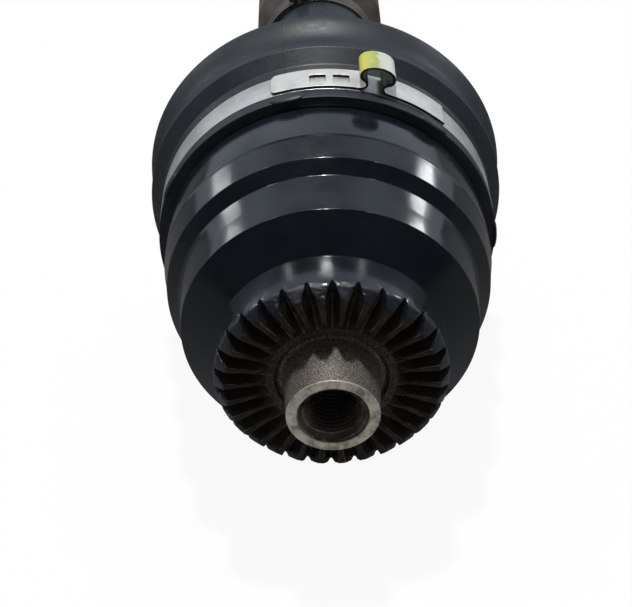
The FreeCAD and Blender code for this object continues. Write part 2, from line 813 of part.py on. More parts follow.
def main():
    os.makedirs("parts", exist_ok=True)
    azimuths = ball_azimuths()
    right, left = azimuths[0], azimuths[ball_count // 2]
    in_cage = [azimuth for azimuth in azimuths if azimuth not in (right, left)]
    top, lower_left, lower_right = trunnion_azimuths()

    save("outer_joint_housing", outer_joint_housing())
    save("outer_inner_race", outer_inner_race())
    save("outer_ball_cage", ball_cage())
    save("outer_cage_balls", Part.makeCompound([ball_at(azimuth) for azimuth in in_cage]))
    save("outer_ball_right", ball_at(right))
    save("outer_ball_left", ball_at(left))
    save("outer_race_clip", wire_clip(outer_clip_y, outer_spline_r - clip_wire_r))
    save("outer_shaft_end", outer_shaft_end())
    save("shaft_tube", shaft_tube())
    save("inner_shaft_end", inner_shaft_end())
    save("tripod_spider", tripod_spider())
    save("spider_clip", wire_clip(inner_clip_y, inner_spline_r - clip_wire_r))
    for name, azimuth in (("top", top), ("lower_left", lower_left), ("lower_right", lower_right)):
        save("needles_" + name, needle_set(azimuth))
        save("roller_" + name, roller(azimuth))
    save("trunnion_washers", trunnion_washers())
    save("trunnion_snap_rings", trunnion_snap_rings())
    save("inner_joint_housing", inner_joint_housing())
    save("stub_clip", stub_circlip())
    save("stub_dust_shield", stub_dust_shield())
    save("inner_boot_adapter", boot_adapter())
    save("outer_boot", outer_boot())
    save("outer_boot_large_clamp", outer_boot_large_clamp())
    save("outer_boot_small_clamp", small_clamp(outer_seat_start + boot_seat_width / 2))
    save("inner_boot", inner_boot())
    save("inner_boot_large_clamp", inner_boot_large_clamp())
    save("inner_boot_small_clamp", small_clamp(inner_seat_start - boot_seat_width / 2))


main()
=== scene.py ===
import math

import bmesh
import bpy
from mathutils import Matrix, Vector


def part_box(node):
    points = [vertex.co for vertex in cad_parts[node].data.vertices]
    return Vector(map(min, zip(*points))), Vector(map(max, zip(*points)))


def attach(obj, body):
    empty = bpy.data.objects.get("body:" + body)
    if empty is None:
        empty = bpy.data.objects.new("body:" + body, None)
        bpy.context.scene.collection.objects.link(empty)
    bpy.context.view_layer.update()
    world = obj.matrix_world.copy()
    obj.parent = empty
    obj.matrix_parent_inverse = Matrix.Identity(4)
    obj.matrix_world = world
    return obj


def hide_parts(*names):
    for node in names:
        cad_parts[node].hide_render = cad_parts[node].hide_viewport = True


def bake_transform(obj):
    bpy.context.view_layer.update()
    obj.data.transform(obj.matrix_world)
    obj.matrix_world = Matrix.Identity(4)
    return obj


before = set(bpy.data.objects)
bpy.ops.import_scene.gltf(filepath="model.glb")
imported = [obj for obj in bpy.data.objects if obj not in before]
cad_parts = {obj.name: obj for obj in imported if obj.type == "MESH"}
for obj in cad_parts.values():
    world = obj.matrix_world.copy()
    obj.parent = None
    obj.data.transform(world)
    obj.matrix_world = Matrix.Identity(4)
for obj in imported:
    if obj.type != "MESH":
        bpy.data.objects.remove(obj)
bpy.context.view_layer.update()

# Sizes are in millimetres unless a name says otherwise. The shaft's axis is Y and the hub end is at y = 0.
# An azimuth is in degrees from +X towards +Z.
MM = 0.001
IMAGE_WIDTH = 632


def low(node):
    """Lowest corner of a CAD node, in millimetres."""
    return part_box(node)[0] / MM


def high(node):
    """Highest corner of a CAD node, in millimetres."""
    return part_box(node)[1] / MM


# Camera at the photograph's viewing angle
CAMERA_PLACE = Vector((4.67, -245.52, 231.19))
CAMERA_DOWN, CAMERA_YAW, CAMERA_ROLL = 38.30, -1.297, -2.922
FOCAL_PIXELS = 1308.7


def add_camera():
    down, yaw, roll = (math.radians(a) for a in (CAMERA_DOWN, CAMERA_YAW, CAMERA_ROLL))
    forward = Vector((0, math.cos(down), -math.sin(down)))
    up = Vector((0, math.sin(down), math.cos(down)))
    right = Vector((1, 0, 0))
    looking = math.cos(yaw) * forward + math.sin(yaw) * right
    level = -math.sin(yaw) * forward + math.cos(yaw) * right
    image_right = math.cos(roll) * level + math.sin(roll) * up
    image_up = -math.sin(roll) * level + math.cos(roll) * up
    data = bpy.data.cameras.new("camera")
    data.sensor_width = 36.0
    data.lens = data.sensor_width * FOCAL_PIXELS / IMAGE_WIDTH
    data.clip_start = 0.01
    data.clip_end = 50.0
    camera = bpy.data.objects.new("camera", data)
    turn = Matrix((image_right, image_up, -looking)).transposed()
    camera.matrix_world = Matrix.Translation(CAMERA_PLACE * MM) @ turn.to_4x4()
    bpy.context.scene.collection.objects.link(camera)
    bpy.context.scene.camera = camera


# Stage and light. The floor's size and its gap under the part are in metres
FLOOR_SIZE, FLOOR_GAP = 12.0, 0.0005
FLOOR_COLOUR = (0.93, 0.93, 0.93)
FLOOR_IN_GLOSS, FLOOR_GLOW = 0.14, 0.93
PLAIN_LIGHT = 0.20
ROOM_LIGHT, ROOM_DARK = 0.55, 0.035
ROOM_TINT = (0.84, 0.95, 1.08)
AIM = (0, 0.05, 0)
LAMPS = (
    # name, direction from the aim, distance in metres, size in metres, power in watts
    ("ceiling", (0.0, 0.22, 0.975), 1.6, (0.10, 0.10), 20.0),
    ("ceiling_left", (-0.51, 0.25, 0.82), 1.7, (0.12, 0.12), 1.6),
    ("ceiling_right", (0.47, 0.25, 0.84), 1.7, (0.12, 0.12), 1.6),
    ("window_left", (-0.71, 0.64, 0.31), 1.6, (0.20, 0.30), 0.7),
    ("window_right", (0.71, 0.64, 0.31), 1.6, (0.14, 0.26), 1.3),
)


# Places of a Mix node's colour sockets
MIX_FIRST, MIX_SECOND, MIX_RESULT = 6, 7, 2


def value_node(tree, operation, first, second=None, third=None):
    """A Math node over sockets or numbers."""
    node = tree.nodes.new("ShaderNodeMath")
    node.operation = operation
    for index, value in enumerate((first, second, third)):
        if value is None:
            continue
        if isinstance(value, (int, float)):
            node.inputs[index].default_value = value
        else:
            tree.links.new(value, node.inputs[index])
    return node.outputs[0]


def mix_colour(tree, factor, first, second):
    """A mix of two colours; each is a socket or three numbers."""
    node = tree.nodes.new("ShaderNodeMix")
    node.data_type = "RGBA"
    tree.links.new(factor, node.inputs["Factor"])
    for index, value in ((MIX_FIRST, first), (MIX_SECOND, second)):
        if isinstance(value, tuple):
            node.inputs[index].default_value = (*value, 1)
        else:
            tree.links.new(value, node.inputs[index])
    return node.outputs[MIX_RESULT]


def add_floor():
    """A pale floor just under the part. The camera sees it nearly white, with the part's shadow."""
    half = FLOOR_SIZE / 2
    floor_z = min(low(node)[2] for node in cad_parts) * MM - FLOOR_GAP
    mesh = bpy.data.meshes.new("floor")
    corners = [(x, y, floor_z) for x, y in ((-half, -half), (half, -half), (half, half), (-half, half))]
    mesh.from_pydata(corners, [], [(0, 1, 2, 3)])
    floor = bpy.data.objects.new("floor", mesh)
    bpy.context.scene.collection.objects.link(floor)
    material = bpy.data.materials.new("floor")
    material.use_nodes = True
    tree = material.node_tree
    shader = tree.nodes["Principled BSDF"]
    shader.inputs["Roughness"].default_value = 0.9
    shader.inputs["Specular IOR Level"].default_value = 0.0
    path = tree.nodes.new("ShaderNodeLightPath")
    colour = mix_colour(tree, path.outputs["Is Glossy Ray"], FLOOR_COLOUR, (FLOOR_IN_GLOSS,) * 3)
    tree.links.new(colour, shader.inputs["Base Color"])
    white = tree.nodes.new("ShaderNodeEmission")
    white.inputs["Color"].default_value = (1, 1, 1, 1)
    mix = tree.nodes.new("ShaderNodeMixShader")
    share = value_node(tree, "MULTIPLY", path.outputs["Is Camera Ray"], FLOOR_GLOW)
    tree.links.new(share, mix.inputs["Fac"])
    tree.links.new(shader.outputs[0], mix.inputs[1])
    tree.links.new(white.outputs[0], mix.inputs[2])
    tree.links.new(mix.outputs[0], tree.nodes["Material Output"].inputs["Surface"])
    mesh.materials.append(material)


def add_world():
    """White behind the part, plain light on it, and for gloss a room that is bright ahead."""
    world = bpy.data.worlds.new("world")
    bpy.context.scene.world = world
    world.use_nodes = True
    tree = world.node_tree
    background = tree.nodes["Background"]
    direction = tree.nodes.new("ShaderNodeTexCoord").outputs["Generated"]
    parts = tree.nodes.new("ShaderNodeSeparateXYZ")
    tree.links.new(direction, parts.inputs[0])
    ahead = spread(tree, parts.outputs["Y"], -0.25, 0.45, 0.0, 1.0)
    below_zenith = spread(tree, parts.outputs["Z"], 0.62, 0.90, 1.0, 0.0)
    patches = tree.nodes.new("ShaderNodeTexNoise")
    patches.inputs["Scale"].default_value = 2.2
    patches.inputs["Detail"].default_value = 2.0
    tree.links.new(direction, patches.inputs["Vector"])
    uneven = spread(tree, patches.outputs["Fac"], 0.35, 0.65, 0.65, 1.2)
    room = value_node(tree, "MULTIPLY", value_node(tree, "MULTIPLY", ahead, below_zenith), uneven)
    room = value_node(tree, "MULTIPLY_ADD", room, ROOM_LIGHT, ROOM_DARK)
    path = tree.nodes.new("ShaderNodeLightPath")
    tint = mix_colour(tree, path.outputs["Is Glossy Ray"], (1, 1, 1), ROOM_TINT)
    tree.links.new(tint, background.inputs["Color"])
    lit = tree.nodes.new("ShaderNodeMix")
    tree.links.new(path.outputs["Is Glossy Ray"], lit.inputs["Factor"])
    lit.inputs["A"].default_value = PLAIN_LIGHT
    tree.links.new(room, lit.inputs["B"])
    strength = value_node(tree, "MAXIMUM", lit.outputs["Result"], path.outputs["Is Camera Ray"])
    strength = value_node(tree, "MAXIMUM", strength, path.outputs["Is Transmission Ray"])
    tree.links.new(strength, background.inputs["Strength"])


def add_lamps():
    for name, direction, distance, size, power in LAMPS:
        data = bpy.data.lights.new(name, "AREA")
        data.shape = "RECTANGLE"
        data.size, data.size_y = size
        data.energy = power
        lamp = bpy.data.objects.new(name, data)
        way = Vector(direction).normalized()
        lamp.location = Vector(AIM) + distance * way
        lamp.rotation_euler = (-way).to_track_quat("-Z", "Y").to_euler()
        bpy.context.scene.collection.objects.link(lamp)


# Materials. Scales are in features per metre, and bump distances and places in metres
PARTING_AZIMUTH = 100.3
PARTING_WIDTH = (0.00006, 0.00018)
PAINTED_RADIUS = (0.0555, 0.0565)
PAINTED_SIDE = (0.0165, 0.0235)


def shader_of(name, colour, roughness, metallic=0.0):
    material = bpy.data.materials.new(name)
    material.use_nodes = True
    shader = material.node_tree.nodes["Principled BSDF"]
    shader.inputs["Base Color"].default_value = (*colour, 1)
    shader.inputs["Roughness"].default_value = roughness
    shader.inputs["Metallic"].default_value = metallic
    return material, shader


def noise(tree, scale, detail, rough, stretch=None):
    """A noise texture in the part's own coordinates; scale is in features per metre."""
    coords = tree.nodes.new("ShaderNodeTexCoord").outputs["Object"]
    texture = tree.nodes.new("ShaderNodeTexNoise")
    texture.inputs["Scale"].default_value = scale
    texture.inputs["Detail"].default_value = detail
    texture.inputs["Roughness"].default_value = rough
    if stretch:
        mapping = tree.nodes.new("ShaderNodeMapping")
        mapping.inputs["Scale"].default_value = stretch
        tree.links.new(coords, mapping.inputs["Vector"])
        tree.links.new(mapping.outputs[0], texture.inputs["Vector"])
    else:
        tree.links.new(coords, texture.inputs["Vector"])
    return texture.outputs["Fac"]


def place_sockets(tree):
    """A point's own X and Z in the part."""
    axes = tree.nodes.new("ShaderNodeSeparateXYZ")
    tree.links.new(tree.nodes.new("ShaderNodeTexCoord").outputs["Object"], axes.inputs[0])
    return axes.outputs["X"], axes.outputs["Z"]


def ramp(tree, value, stops):
    """A colour ramp over a value; stops are (position, colour)."""
    node = tree.nodes.new("ShaderNodeValToRGB")
    elements = node.color_ramp.elements
    while len(elements) < len(stops):
        elements.new(0.5)
    for element, (position, colour) in zip(elements, stops):
        element.position = position
        element.color = (*colour, 1)
    tree.links.new(value, node.inputs["Fac"])
    return node.outputs["Color"]


def spread(tree, value, start, end, to_start, to_end):
    """Maps a value from one span to another."""
    node = tree.nodes.new("ShaderNodeMapRange")
    node.inputs["From Min"].default_value = start
    node.inputs["From Max"].default_value = end
    node.inputs["To Min"].default_value = to_start
    node.inputs["To Max"].default_value = to_end
    tree.links.new(value, node.inputs["Value"])
    return node.outputs["Result"]


def bump(tree, shader, height, strength, distance):
    node = tree.nodes.new("ShaderNodeBump")
    node.inputs["Strength"].default_value = strength
    node.inputs["Distance"].default_value = distance
    tree.links.new(height, node.inputs["Height"])
    tree.links.new(node.outputs[0], shader.inputs["Normal"])


def worn(name, dark, light, roughness, grain, bump_height, metallic=0.0, low_fac=0.35, high_fac=0.7,
         rough_change=0.1, stretch=None):
    """A surface whose colour and roughness drift between two values, with a fine bump."""
    material, shader = shader_of(name, light, roughness, metallic)
    tree = material.node_tree
    drift = noise(tree, grain * 0.12, 5.0, 0.6)
    tree.links.new(ramp(tree, drift, ((low_fac, dark), (high_fac, light))), shader.inputs["Base Color"])
    fine = noise(tree, grain, 4.0, 0.6, stretch)
    tree.links.new(spread(tree, fine, 0.3, 0.7, roughness - rough_change, roughness + rough_change),
                   shader.inputs["Roughness"])
    if bump_height:
        bump(tree, shader, fine, 0.6, bump_height)
    return material


def gloss_paint():
    """Smooth black paint of the housings, with a faint orange peel and a few dull patches."""
    material, shader = shader_of("gloss_black_paint", (0.005, 0.007, 0.010), 0.2)
    tree = material.node_tree
    patches = noise(tree, 90.0, 6.0, 0.65)
    tree.links.new(spread(tree, patches, 0.35, 0.75, 0.13, 0.30), shader.inputs["Roughness"])
    tree.links.new(ramp(tree, patches, ((0.3, (0.004, 0.006, 0.009)), (0.8, (0.009, 0.012, 0.017)))),
                   shader.inputs["Base Color"])
    shader.inputs["Specular IOR Level"].default_value = 0.55
    shader.inputs["Coat Weight"].default_value = 0.35
    shader.inputs["Coat Roughness"].default_value = 0.08
    peel = noise(tree, 420.0, 3.0, 0.5)
    bump(tree, shader, peel, 0.18, 0.00006)
    return material


def dimpled_paint():
    """The same paint where it lies thick and uneven on the tips of the teeth."""
    material, shader = shader_of("dimpled_black_paint", (0.006, 0.008, 0.012), 0.16)
    tree = material.node_tree
    dimples = noise(tree, 1100.0, 3.0, 0.6)
    tree.links.new(ramp(tree, dimples, ((0.3, (0.004, 0.005, 0.008)), (0.7, (0.012, 0.015, 0.020)))),
                   shader.inputs["Base Color"])
    shader.inputs["Coat Weight"].default_value = 0.6
    shader.inputs["Coat Roughness"].default_value = 0.06
    bump(tree, shader, dimples, 0.9, 0.000475)
    return material


def tooth_metal():
    """Phosphated steel of the teeth."""
    material, shader = shader_of("phosphated_teeth", (0.034, 0.029, 0.024), 0.38, 0.55)
    tree = material.node_tree
    stains = noise(tree, 260.0, 6.0, 0.65)
    base = ramp(tree, stains, ((0.3, (0.017, 0.014, 0.012)), (0.75, (0.061, 0.048, 0.037))))
    tree.links.new(base, shader.inputs["Base Color"])
    fine = noise(tree, 1500.0, 3.0, 0.6)
    tree.links.new(spread(tree, fine, 0.3, 0.7, 0.26, 0.44), shader.inputs["Roughness"])
    bump(tree, shader, fine, 0.5, 0.00005)
    return material


def machined_face():
    """Turned end face of the spigot: pale steel with stained patches, pits and fine scratches."""
    material, shader = shader_of("machined_face", (0.42, 0.39, 0.31), 0.42, 0.45)
    tree = material.node_tree
    stains = ramp(tree, noise(tree, 210.0, 5.0, 0.7),
                  ((0.38, (0.22, 0.20, 0.16)), (0.52, (0.60, 0.56, 0.46)), (0.70, (0.78, 0.75, 0.65))))
    pits = spread(tree, noise(tree, 1500.0, 4.0, 0.7), 0.30, 0.38, 0.15, 1.0)
    tree.links.new(mix_colour(tree, pits, (0.03, 0.026, 0.02), stains), shader.inputs["Base Color"])
    scratches = noise(tree, 900.0, 3.0, 0.6, (4.0, 1.0, 0.3))
    tree.links.new(spread(tree, scratches, 0.3, 0.7, 0.30, 0.55), shader.inputs["Roughness"])
    bump(tree, shader, scratches, 0.5, 0.00006)
    return material


def marked_band():
    """Clamp steel with a dab of inspection paint on top of the ear."""
    material, shader = shader_of("clamp_strap", (0.62, 0.62, 0.60), 0.4, 0.8)
    tree = material.node_tree
    stains = noise(tree, 160.0, 5.0, 0.6)
    steel = ramp(tree, stains, ((0.35, (0.58, 0.58, 0.56)), (0.7, (0.78, 0.78, 0.76))))
    x, z = place_sockets(tree)
    across = value_node(tree, "MULTIPLY", x, x)
    radius = value_node(tree, "SQRT", value_node(tree, "MULTIPLY_ADD", z, z, across))
    blot = noise(tree, 420.0, 4.0, 0.6)
    on_ear = spread(tree, value_node(tree, "MULTIPLY_ADD", blot, 0.003, radius), *PAINTED_RADIUS, 0.0, 1.0)
    side = value_node(tree, "MULTIPLY_ADD", blot, 0.006, x)
    dab = ramp(tree, spread(tree, side, *PAINTED_SIDE, 0.0, 1.0),
               ((0.0, (0.62, 0.60, 0.10)), (0.45, (0.36, 0.42, 0.12)), (0.55, (0.55, 0.58, 0.46)),
                (1.0, (0.66, 0.67, 0.63))))
    tree.links.new(mix_colour(tree, on_ear, steel, dab), shader.inputs["Base Color"])
    tree.links.new(spread(tree, on_ear, 0.0, 1.0, 0.45, 0.0), shader.inputs["Metallic"])
    fine = noise(tree, 1300.0, 3.0, 0.6, (1, 0.2, 1))
    tree.links.new(spread(tree, fine, 0.3, 0.7, 0.32, 0.50), shader.inputs["Roughness"])
    bump(tree, shader, fine, 0.5, 0.00004)
    return material


def cast_skin(name, level):
    """Rough forged skin: fine light and dark grains, at a level of brightness; a low level gives a copy
    darkened as painted shade.
    """
    dark, middle, light = ((level * r, level * g, level * b) for r, g, b in
                           ((0.020, 0.017, 0.015), (0.085, 0.075, 0.064), (0.26, 0.235, 0.20)))
    material, shader = shader_of(name, middle, 0.6, 0.35)
    tree = material.node_tree
    grains = noise(tree, 2600.0, 3.0, 0.75)
    skin = ramp(tree, grains, ((0.36, dark), (0.50, middle), (0.66, light)))
    tree.links.new(skin, shader.inputs["Base Color"])
    tree.links.new(spread(tree, grains, 0.3, 0.7, 0.70, 0.42), shader.inputs["Roughness"])
    bump(tree, shader, grains, 0.8, 0.00012)
    return material


def boot_rubber():
    """Slate-black rubber with the thin line that its mould leaves along the top."""
    material, shader = shader_of("boot_rubber", (0.014, 0.018, 0.025), 0.45)
    tree = material.node_tree
    drift = noise(tree, 84.0, 5.0, 0.6)
    skin = ramp(tree, drift, ((0.35, (0.009, 0.012, 0.017)), (0.7, (0.017, 0.022, 0.030))))
    x, z = place_sockets(tree)
    side, rise = math.sin(math.radians(PARTING_AZIMUTH)), math.cos(math.radians(PARTING_AZIMUTH))
    offset = value_node(tree, "MULTIPLY_ADD", x, -side, value_node(tree, "MULTIPLY", z, rise))
    on_line = spread(tree, value_node(tree, "ABSOLUTE", offset), *PARTING_WIDTH, 1.0, 0.0)
    line = value_node(tree, "MULTIPLY", on_line, value_node(tree, "GREATER_THAN", z, 0))
    tree.links.new(mix_colour(tree, line, skin, (0.003, 0.004, 0.005)), shader.inputs["Base Color"])
    fine = noise(tree, 700.0, 4.0, 0.6)
    rough = spread(tree, fine, 0.3, 0.7, 0.38, 0.53)
    tree.links.new(rough, shader.inputs["Roughness"])
    bump(tree, shader, value_node(tree, "MULTIPLY_ADD", line, 0.8, fine), 0.6, 0.00008)
    return material


def make_materials():
    """Every material by its key. worn() has two colours, roughness, grain, bump distance and metallic."""
    return {
        "paint": gloss_paint(),
        "teeth": tooth_metal(),
        "cast": cast_skin("cast_skin", 1.25),
        # The recess copy is the forged skin darkened to 0.45 as painted shade for the hollow under the
        # teeth.
        "shaded_recess": cast_skin("recess_skin_painted_shade", 0.45),
        "machined": machined_face(),
        "rim": dimpled_paint(),
        # Bright metal on tooth root and crest lines, partly wear and partly painted highlight; on thread
        # crests a painted highlight.
        "rubbed_and_highlit": worn("rubbed_and_highlit_edges", (0.08, 0.064, 0.046), (0.60, 0.48, 0.34),
                       0.32, 2400.0, 0.00003, 0.85, low_fac=0.40, high_fac=0.62),
        "thread": worn("thread_steel", (0.05, 0.045, 0.04), (0.20, 0.18, 0.155), 0.30, 900.0, 0.00004, 0.8),
        "rubber": boot_rubber(),
        # Small clamps: brownish steel, made much darker than the large clamp partly as painted shade.
        "dull_band_and_shade": worn("small_clamp_steel_and_shade", (0.045, 0.038, 0.034), (0.17, 0.145, 0.13),
                          0.45, 1300.0, 0.00003, 0.6),
        "band": worn("clamp_band", (0.60, 0.60, 0.58), (0.82, 0.82, 0.79), 0.38, 1300.0, 0.00003, 0.8,
                     rough_change=0.07, stretch=(1, 0.2, 1)),
        "strap": marked_band(),
        # Strap rims and inner sides: dark steel as painted shade for the edges and the inside of the loop.
        "strap_shade": worn("clamp_edge_painted_shade", (0.03, 0.028, 0.026), (0.10, 0.09, 0.08),
                           0.40, 1300.0, 0.00003, 0.7),
        "shaft": worn("shaft_coating", (0.095, 0.082, 0.074), (0.19, 0.168, 0.155),
                      0.45, 600.0, 0.00008, 0.3),
        "steel": worn("ground_steel", (0.30, 0.29, 0.28), (0.48, 0.47, 0.45), 0.28, 900.0, 0.00003, 0.95),
        "dark_steel": worn("phosphated_steel", (0.035, 0.032, 0.03), (0.09, 0.085, 0.08),
                           0.42, 900.0, 0.00005, 0.8),
        "polished": worn("polished_balls", (0.58, 0.58, 0.58), (0.70, 0.70, 0.70), 0.10, 600.0, 0.0, 1.0,
                         rough_change=0.04),
        "race": worn("hardened_track", (0.22, 0.21, 0.20), (0.34, 0.33, 0.32), 0.30, 900.0, 0.00003, 0.95),
        "matte_rubber": worn("adapter_rubber", (0.012, 0.012, 0.012), (0.028, 0.028, 0.028),
                             0.65, 800.0, 0.0001),
        "pressed": worn("pressed_sheet", (0.02, 0.02, 0.021), (0.05, 0.05, 0.052),
                        0.40, 800.0, 0.00005, 0.4),
    }


# Mesh helpers
# The most of an edge that a fillet takes, and the degrees that each of its steps turns
FILLET_SHARE, FILLET_STEP = 0.48, 9


def point(y, r, azimuth):
    """A point in metres at a place on the axis, a radius and an azimuth."""
    angle = math.radians(azimuth)
    return Vector((r * math.cos(angle), y, r * math.sin(angle))) * MM


def rounded(corners):
    """(y, r) points of an outline from corners (y, r) or (y, r, fillet)."""
    points = []
    last = len(corners) - 1
    for i, corner in enumerate(corners):
        here = Vector(corner[:2])
        fillet = corner[2] if len(corner) > 2 else 0.0
        if i in (0, last) or not fillet:
            points.append(here)
            continue
        back = Vector(corners[i - 1][:2]) - here
        ahead = Vector(corners[i + 1][:2]) - here
        opening = back.angle(ahead)
        reach = min(fillet / math.tan(opening / 2), FILLET_SHARE * back.length, FILLET_SHARE * ahead.length)
        start, end = here + back.normalized() * reach, here + ahead.normalized() * reach
        steps = max(2, math.ceil(math.degrees(math.pi - opening) / FILLET_STEP))
        for k in range(steps + 1):
            t = k / steps
            points.append((1 - t) ** 2 * start + 2 * t * (1 - t) * here + t ** 2 * end)
    return [(p[0], p[1]) for p in points]


def smooth_path(corners, steps):
    """A Catmull-Rom curve through (y, r) corners."""
    points = [Vector(c) for c in corners]
    points = [2 * points[0] - points[1]] + points + [2 * points[-1] - points[-2]]
    path = []
    for i in range(1, len(points) - 2):
        a, b, c, d = points[i - 1:i + 3]
        for k in range(steps):
            t = k / steps
            path.append(0.5 * (2 * b + (c - a) * t + (2 * a - 5 * b + 4 * c - d) * t ** 2
                               + (3 * b - a - 3 * c + d) * t ** 3))
    path.append(points[-2])
    return [(p[0], p[1]) for p in path]


def add_mesh(name, vertices, faces, materials, face_slots=None):
    mesh = bpy.data.meshes.new(name)
    mesh.from_pydata(vertices, [], faces)
    for material in materials:
        mesh.materials.append(material)
    if face_slots:
        mesh.polygons.foreach_set("material_index", face_slots)
    mesh.polygons.foreach_set("use_smooth", [True] * len(mesh.polygons))
    mesh.update()
    obj = bpy.data.objects.new(name, mesh)
    bpy.context.scene.collection.objects.link(obj)
    return obj


def rows_mesh(name, rows, materials, slot_of=None):
    """A mesh from rows of points round the axis; each row closes on itself."""
    count = len(rows[0])
    vertices = [p for row in rows for p in row]
    faces, slots = [], []
    for i in range(len(rows) - 1):
        for j in range(count):
            k = (j + 1) % count
            faces.append((i * count + j, i * count + k, (i + 1) * count + k, (i + 1) * count + j))
            slots.append(slot_of(i, j) if slot_of else 0)
    return add_mesh(name, vertices, faces, materials, slots)


def lathe(name, outline, material, segments=256):
    """A turned ring from the (y, r) points round its section."""
    closed = outline + outline[:1]
    rows = [[point(y, r, 360 * j / segments) for j in range(segments)] for y, r in closed]
    obj = rows_mesh(name, rows, [material])
    merge(obj)
    return obj


def merge(obj, distance=1e-7):
    """Joins coincident points and turns every face outwards."""
    work = bmesh.new()
    work.from_mesh(obj.data)
    bmesh.ops.remove_doubles(work, verts=work.verts, dist=distance)
    bmesh.ops.recalc_face_normals(work, faces=work.faces)
    work.to_mesh(obj.data)
    work.free()
    obj.data.update()


def smooth_by_angle(obj, angle):
    """Marks the edges over an angle as sharp, so that the rest shade smoothly."""
    work = bmesh.new()
    work.from_mesh(obj.data)
    for edge in work.edges:
        edge.smooth = len(edge.link_faces) != 2 or edge.calc_face_angle(0.0) < math.radians(angle)
    work.to_mesh(obj.data)
    work.free()


def place(obj, body, slot, *nodes):
    """A finished piece moves with a body and stands for CAD nodes, which it hides; the slot is not used."""
    if nodes:
        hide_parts(*nodes)
    if body:
        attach(obj, body)


# Outer joint housing: driving places along the axis and radii, from the hub end to the mouth
TOOTH_COUNT, TOOTH_AZIMUTH = 30, 87.0
ROOT_HALF, GAP_HALF_INNER, GAP_HALF_OUTER = 0.26, 1.72, 2.15
LAND_Y, LAND_R = 14.4, 17.7
CREST_INNER_Y, CREST_INNER_R = 12.5, 20.3
CREST_OUTER_Y, CREST_OUTER_R = 11.5, 28.7
ROOT_INNER_Y, ROOT_OUTER_Y = 14.6, 16.7
COLLAR_R, COLLAR_FRONT_Y = 31.5, 14.9
EDGE_ROUND, ROOT_ROUND = 0.35, 0.25
LEAST_DEPTH, WIDEST_FLANK = 0.02, 0.92
CREST_STEP = 1.1
RIM_START_R = CREST_OUTER_R + 0.1
THREAD_R, THREAD_INNER_R, THREAD_PITCH = 8.0, 7.25, 1.5
THREAD_MOUTH_R, THREAD_START_Y, THREAD_END_Y, DRILL_TIP = 9.25, 0.1, 24.5, 3.2
# Height and steepness of a thread's profile, and half the share of a turn whose crest is painted bright as
# a highlight
THREAD_TOP, THREAD_FLANK, THREAD_BRIGHT = 1.35, 3.2, 0.1
JOINT_Y = 56.0
PITCH_R, TRACK_R, TRACK_SPACING, TRACK_STEPS = 32.0, 10.15, 60, 24
TRACK_LOW, TRACK_HIGH = -13.0, 36.0
CAVITY_R, CAVITY_BOTTOM, CAVITY_THROAT = 35.12, 23.0, 14.0
CAVITY_MOUTH_R, CAVITY_FLOOR_R, CAVITY_STEPS = 42.6, 12.0, 22
# Shares of the root, the flank and the crest at which a tooth has points
ROOT_SHARE, CREST_SHARE = 0.6, 0.3
FLANK_SHARES = (0.0, 0.2, 0.42, 0.64, 0.84, 0.95, 1.0)
SAMPLES_PER_TOOTH = 20
# Points of a half tooth after which the face is painted bright: partly rubbed wear, partly a painted
# highlight
BRIGHT_COLUMNS = (1, 7)
# Outlines of (y, r) or (y, r, fillet)
SPIGOT_OUTLINE = ((0.35, 12.25), (6.0, 12.55), (12.0, 12.95), (15.6, 13.3, 1.6), (15.6, 14.2))
RECESS_OUTLINE = ((15.6, 14.2), (15.6, 15.0, 0.7), (14.4, 15.25, 0.3), (14.4, 17.4))
COLLAR_OUTLINE = ((18.2, COLLAR_R), (20.5, COLLAR_R), (23.4, COLLAR_R))
BELL_OUTLINE = (
    (23.4, COLLAR_R), (26.8, COLLAR_R, 0.25), (33.8, 41.4, 0.35), (40.6, 42.1, 0.35), (47.4, 43.0, 0.6),
    (50.8, 46.4, 0.35), (59.8, 47.6, 0.4), (60.6, 47.85, 0.4), (74.6, 47.9, 0.5), (75.3, 47.3, 0.3),
    (81.2, 47.3), (82.0, 46.4), (91.0, 46.4), (91.8, 47.3), (93.7, 47.3), (94.5, 46.6), (94.5, 42.9, 0.3),
    (94.2, 42.6),
)


def tooth_root_y(r):
    return ROOT_INNER_Y + (ROOT_OUTER_Y - ROOT_INNER_Y) * (r - LAND_R) / (COLLAR_R - LAND_R)


def smooth_max(a, b, width):
    """The larger of two values, with the step between them rounded over a width."""
    h = max(width - abs(a - b), 0.0) / width
    return max(a, b) + h * h * width / 4


def gap_slope(r):
    """How fast a gap between teeth widens from its root at a radius."""
    share = (r - CREST_INNER_R) / (CREST_OUTER_R - CREST_INNER_R)
    full_depth = tooth_root_y(r) - CREST_INNER_Y - (CREST_OUTER_Y - CREST_INNER_Y) * share
    return (GAP_HALF_INNER + (GAP_HALF_OUTER - GAP_HALF_INNER) * share - ROOT_HALF) / full_depth


def tooth_samples(r, crest_y):
    """(offset along the arc from a gap's middle, place on the axis) for half a tooth pitch at a radius."""
    half_pitch = math.pi * r / TOOTH_COUNT
    slope = gap_slope(r)
    depth = max(tooth_root_y(r) - crest_y, LEAST_DEPTH)
    flank_end = min(ROOT_HALF + depth * slope, WIDEST_FLANK * half_pitch)
    offsets = [0.0, ROOT_SHARE * ROOT_HALF]
    offsets += [ROOT_HALF + (flank_end - ROOT_HALF) * share for share in FLANK_SHARES]
    offsets += [flank_end + CREST_SHARE * (half_pitch - flank_end), half_pitch]
    samples = []
    for offset in offsets:
        out = smooth_max(offset, ROOT_HALF, ROOT_ROUND)
        flank_y = tooth_root_y(r) - (out - ROOT_HALF) / slope
        samples.append((offset, smooth_max(crest_y, flank_y, EDGE_ROUND)))
    return samples


def gap_middles():
    """Azimuths of the middles of the gaps between the teeth."""
    return [TOOTH_AZIMUTH + 360 * k / TOOTH_COUNT for k in range(TOOTH_COUNT)]


